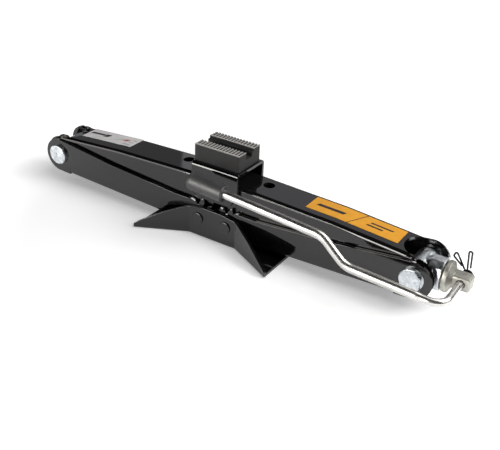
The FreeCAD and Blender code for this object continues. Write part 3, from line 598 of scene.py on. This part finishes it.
def pad_section(x, dip, inset):
    """One (x, y, z) ring across the pad; dip is how deep the ribbed top lies below the plain edge."""
    bottom, top = PAD_Z
    low = top - max(dip, CREST_DROP)
    half = PAD_HALF - inset
    near_edge = STRIP_EDGE - PAD_HALF
    far_edge = STEP_Y + STRIP_EDGE
    outline = [(-half, bottom), (half, bottom), (half, low), (far_edge, low), (far_edge, top), (STEP_Y, top),
               (STEP_Y, STEP_Z), (GROOVE_Y[1], STEP_Z), (GROOVE_Y[1], GROOVE_Z), (GROOVE_Y[0], GROOVE_Z),
               (GROOVE_Y[0], low), (near_edge, low), (near_edge, top), (-half, top)]
    return [(x, y, z) for y, z in outline]


def pad_stations():
    """(x, dip) pairs along the pad: a rib's crest, then a valley, and so on."""
    pitch = (PAD_X[1] - PAD_X[0] - RIB_LAND) / VALLEY_COUNT
    stations = []
    for index in range(VALLEY_COUNT):
        start = PAD_X[0] + index * pitch + RIB_LAND
        end = start + pitch - RIB_LAND
        stations += [(start, 0.0), (start + VALLEY_SLOPE, VALLEY_DEPTH),
                     (end - VALLEY_SLOPE, VALLEY_DEPTH), (end, 0.0)]
    return stations


def corner_insets():
    """(distance from the end, inset) pairs round a vertical corner of the pad."""
    turns = [math.radians(degrees) for degrees in PAD_CORNER_TURNS]
    return [(PAD_CORNER * (1.0 - math.sin(turn)), PAD_CORNER * (1.0 - math.cos(turn))) for turn in turns]


def circle(radius, steps):
    """Points round a circle, as (across, up) pairs from its middle."""
    turns = [math.tau * step / steps for step in range(steps)]
    return [(radius * math.cos(turn), radius * math.sin(turn)) for turn in turns]


def drill(mesh, x, y, low, high, radius):
    """Cuts a round upright hole into a mesh."""
    rings = []
    for z in (low, high):
        rings.append([(x + across, y + up, z) for across, up in circle(radius, ROUND_STEPS)])
    tool = bpy.data.objects.new("drill", loft("drill", rings))
    block = bpy.data.objects.new("block", mesh)
    for item in (tool, block):
        bpy.context.scene.collection.objects.link(item)
    cut = block.modifiers.new("hole", "BOOLEAN")
    cut.operation = "DIFFERENCE"
    cut.solver = "EXACT"
    cut.object = tool
    cut_block = block.evaluated_get(bpy.context.evaluated_depsgraph_get())
    drilled = bpy.data.meshes.new_from_object(cut_block)
    for item in (tool, block):
        bpy.data.objects.remove(item)
    return drilled


def build_pad():
    """Grooved pad with cross ribs, rounded upright corners and a stepped fixing hole."""
    corner = corner_insets()
    sections = []
    for distance, inset in corner:
        sections.append(pad_section(PAD_X[0] + distance, 0.0, inset))
    for x, dip in pad_stations():
        sections.append(pad_section(x, dip, 0.0))
    for distance, inset in corner:
        sections.append(pad_section(PAD_X[1] - distance, 0.0, inset))
    sections.sort(key=lambda ring: ring[0][0])
    top = PAD_Z[1] + HOLE_CLEARANCE
    mesh = drill(loft("ribbed_pad", sections), *HOLE_PLACE, HOLE_SEAT_Z, top, HOLE_RADIUS)
    pad = add_piece("ribbed_pad", mesh, "pad_rubber", "saddle", ("saddle_pad",))
    soften(pad, PAD_SOFTNESS)


def soften(piece, radius):
    """Small rounding of a piece's sharp edges, in millimetres."""
    bevel = piece.modifiers.new("rounded_edges", "BEVEL")
    bevel.width = radius * MM
    bevel.segments = SOFT_SEGMENTS
    bevel.limit_method = "ANGLE"
    bevel.angle_limit = SMOOTH_ANGLE


def turned(name, outline, steps):
    """Solid of revolution about the screw's axis, from (x, radius) points."""
    rings = []
    for x, radius in outline:
        rings.append([(x, across, SCREW_AXIS_Z + up) for across, up in circle(radius, steps)])
    return loft(name, rings, True)


def thread_ridge():
    """Helical bar of trapezoidal section, which sinks into the core at both ends."""
    turns = (THREAD_X[1] - THREAD_X[0]) / THREAD_PITCH - 1.0
    total = int(turns * THREAD_STEPS)
    foot = THREAD_ROOT - THREAD_SINK
    foot_half, crest_half = (width / 2.0 for width in THREAD_WIDTHS)
    sections = []
    for step in range(total + 1):
        angle = math.tau * step / THREAD_STEPS
        x = THREAD_X[0] + THREAD_PITCH * (0.5 + step / THREAD_STEPS)
        rise = min(1.0, (step + 1) / THREAD_FADE, (total - step + 1) / THREAD_FADE)
        crest = foot + (THREAD_CREST - foot) * rise
        profile = [(-foot_half, foot), (-crest_half, crest), (crest_half, crest), (foot_half, foot)]
        sections.append([(x + along, radius * math.cos(angle), SCREW_AXIS_Z + radius * math.sin(angle))
                         for along, radius in profile])
    return loft("thread_ridge", sections)


def build_screw():
    """Turned core with plain ends and a rolled thread between them, as one piece."""
    left, right = SCREW_END_X
    step = THREAD_CREST - THREAD_ROOT
    outline = [(left, THREAD_CREST - SCREW_CHAMFER), (left + SCREW_CHAMFER, THREAD_CREST),
               (THREAD_X[0] - step, THREAD_CREST), (THREAD_X[0], THREAD_ROOT),
               (THREAD_X[1], THREAD_ROOT), (THREAD_X[1] + step, THREAD_CREST),
               (right - SCREW_CHAMFER, THREAD_CREST), (right, THREAD_CREST - SCREW_CHAMFER)]
    whole = bmesh.new()
    for mesh in (turned("screw_core", outline, ROUND_STEPS), thread_ridge()):
        whole.from_mesh(mesh)
        bpy.data.meshes.remove(mesh)
    screw = bpy.data.meshes.new("threaded_screw")
    whole.to_mesh(screw)
    whole.free()
    screw.set_sharp_from_angle(angle=SMOOTH_ANGLE)
    add_piece("threaded_screw", screw, "screw_steel", "screw", ("lead_screw",))


def film_height(node, x, y):
    """Height of a label's top face under a point, in millimetres."""
    above = Vector((x * MM, y * MM, RAY_START))
    hit, place, _, _ = node.ray_cast(above, Vector((0.0, 0.0, -1.0)))
    if not hit:
        raise ValueError("print outside its label at %.1f, %.1f" % (x, y))
    return place.z / MM


def print_bar(bar, label, body):
    """Thin slanted bar of ink that lies on a label's film."""
    name, near_x, far_x, near_y, far_y, width, ink = bar
    node = frame["nodes"][label]
    steps = max(1, int(math.ceil(width / PRINT_STEP)))
    sections = []
    for step in range(steps + 1):
        along = width * step / steps
        ring = []
        for x, y in ((near_x + along, near_y), (far_x + along, far_y)):
            ring.append((x, y, film_height(node, x, y)))
        low = [(x, y, z - PRINT_SINK) for x, y, z in ring]
        high = [(x, y, z + PRINT_RISE) for x, y, z in reversed(ring)]
        sections.append(low + high)
    mesh = loft(name, sections)
    add_piece(name, mesh, node_slot(label), body)
    mesh.materials[0] = INKS[ink]


def print_labels():
    for label, body, prints in LABELS:
        for bar in prints:
            print_bar(bar, label, body)


def lay_floor():
    half = FLOOR_HALF
    corners = [(-half, -half, 0), (half, -half, 0), (half, half, 0), (-half, half, 0)]
    mesh = bpy.data.meshes.new("floor")
    mesh.from_pydata(corners, [], [(0, 1, 2, 3)])
    floor = bpy.data.objects.new("floor", mesh)
    bpy.context.scene.collection.objects.link(floor)
    mesh.materials.append(floor_material())


place_camera()
place_lights()
build_world()
print_labels()
finish_cad_nodes()
build_pad()
build_screw()
lay_floor()

bpy.context.scene.view_settings.view_transform = "Standard"
